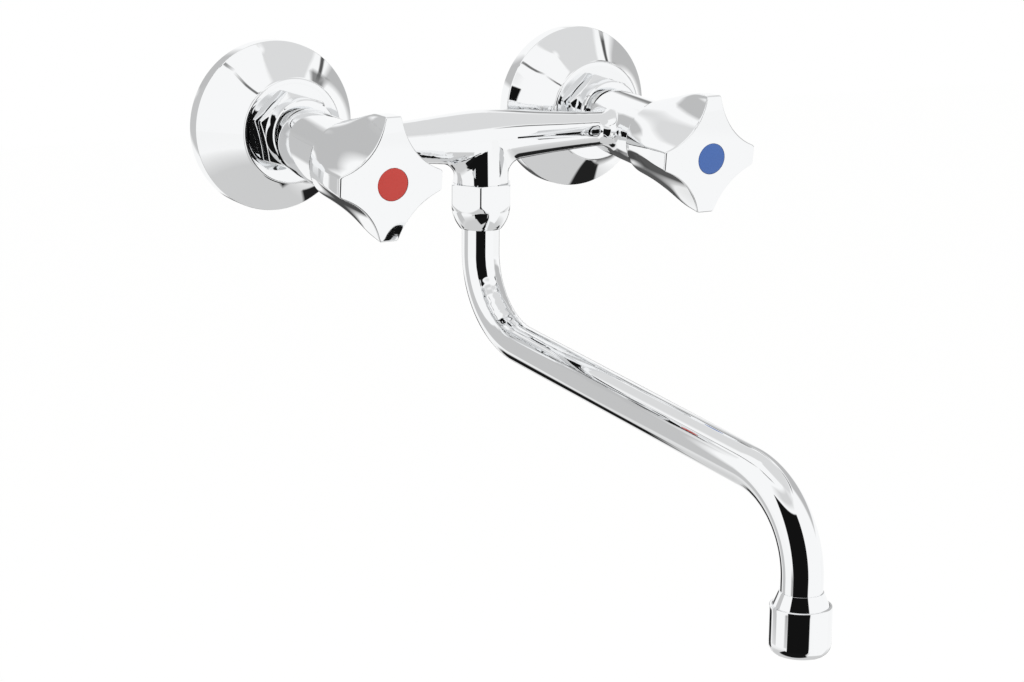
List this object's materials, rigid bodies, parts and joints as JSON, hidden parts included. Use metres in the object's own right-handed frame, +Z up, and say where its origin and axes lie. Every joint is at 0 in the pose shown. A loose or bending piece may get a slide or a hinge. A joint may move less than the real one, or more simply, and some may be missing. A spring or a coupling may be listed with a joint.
{
  "type": "wall-mounted kitchen mixer tap",
  "caption": "Wall-mounted kitchen mixer tap with cross handles, red and blue index discs, an arched bar between its valves and a long swivelling pipe spout that ends in an aerator.",
  "frame": {"origin": "on the wall's surface, midway between the two wall threads", "axes": "+Y into the wall along the wall threads, +X to the user's right (cold side), +Z up"},
  "size_m": [0.222, 0.284, 0.2069],
  "materials": {
    "polished_chrome": "polished chrome plate",
    "nickel_plated_brass": "nickel-plated brass, turned",
    "bare_brass": "turned brass",
    "black_rubber": "matt black rubber",
    "white_ceramic": "lapped white alumina ceramic",
    "white_nylon": "natural nylon",
    "grey_acetal": "moulded grey acetal",
    "spring_steel": "stainless steel",
    "red_index": "semi-gloss red plastic",
    "blue_index": "semi-gloss blue plastic"
  },
  "bodies": {
    "tap_body": {"body": "polished_chrome", "spout_nut": "polished_chrome", "slip_ring": "white_nylon", "rosette_hot": "polished_chrome", "s_union_hot": "nickel_plated_brass", "union_nut_hot": "polished_chrome", "inlet_gasket_hot": "black_rubber", "inlet_tail_hot": "nickel_plated_brass", "seat_seal_hot": "black_rubber", "fixed_disc_hot": "white_ceramic", "slip_washer_hot": "white_nylon", "valve_housing_hot": "bare_brass", "valve_gasket_hot": "black_rubber", "rosette_cold": "polished_chrome", "s_union_cold": "nickel_plated_brass", "union_nut_cold": "polished_chrome", "inlet_gasket_cold": "black_rubber", "inlet_tail_cold": "nickel_plated_brass", "seat_seal_cold": "black_rubber", "fixed_disc_cold": "white_ceramic", "slip_washer_cold": "white_nylon", "valve_housing_cold": "bare_brass", "valve_gasket_cold": "black_rubber"},
    "hot_handle": {"moving_disc_hot": "white_ceramic", "spindle_hot": "bare_brass", "stem_ring_hot": "black_rubber", "circlip_hot": "spring_steel", "handle_hot": "polished_chrome", "spline_insert_hot": "white_nylon", "handle_screw_hot": "spring_steel", "index_disc_hot": "red_index"},
    "cold_handle": {"moving_disc_cold": "white_ceramic", "spindle_cold": "bare_brass", "stem_ring_cold": "black_rubber", "circlip_cold": "spring_steel", "handle_cold": "polished_chrome", "spline_insert_cold": "white_nylon", "handle_screw_cold": "spring_steel", "index_disc_cold": "blue_index"},
    "spout": {"spout_collar": "bare_brass", "spout_rings": "black_rubber", "spout_tube": "polished_chrome", "spout_nose": "polished_chrome", "aerator_housing": "polished_chrome", "aerator_seal": "black_rubber", "aerator_jet": "grey_acetal", "aerator_strainer": "spring_steel"}
  },
  "joints": [
    {"name": "hot_turn", "type": "hinge", "parent": "tap_body", "child": "hot_handle", "pos_m": [-0.075, -0.039, -0.0089], "axis": [0, -0.9954, -0.0958], "range_deg": [0, 90]},
    {"name": "cold_turn", "type": "hinge", "parent": "tap_body", "child": "cold_handle", "pos_m": [0.075, -0.039, -0.0089], "axis": [0, -0.9954, -0.0958], "range_deg": [-90, 0]},
    {"name": "spout_swivel", "type": "hinge", "parent": "tap_body", "child": "spout", "pos_m": [0, -0.0511, -0.006], "axis": [0, 0, 1], "range_deg": [-100, 90]}
  ]
}
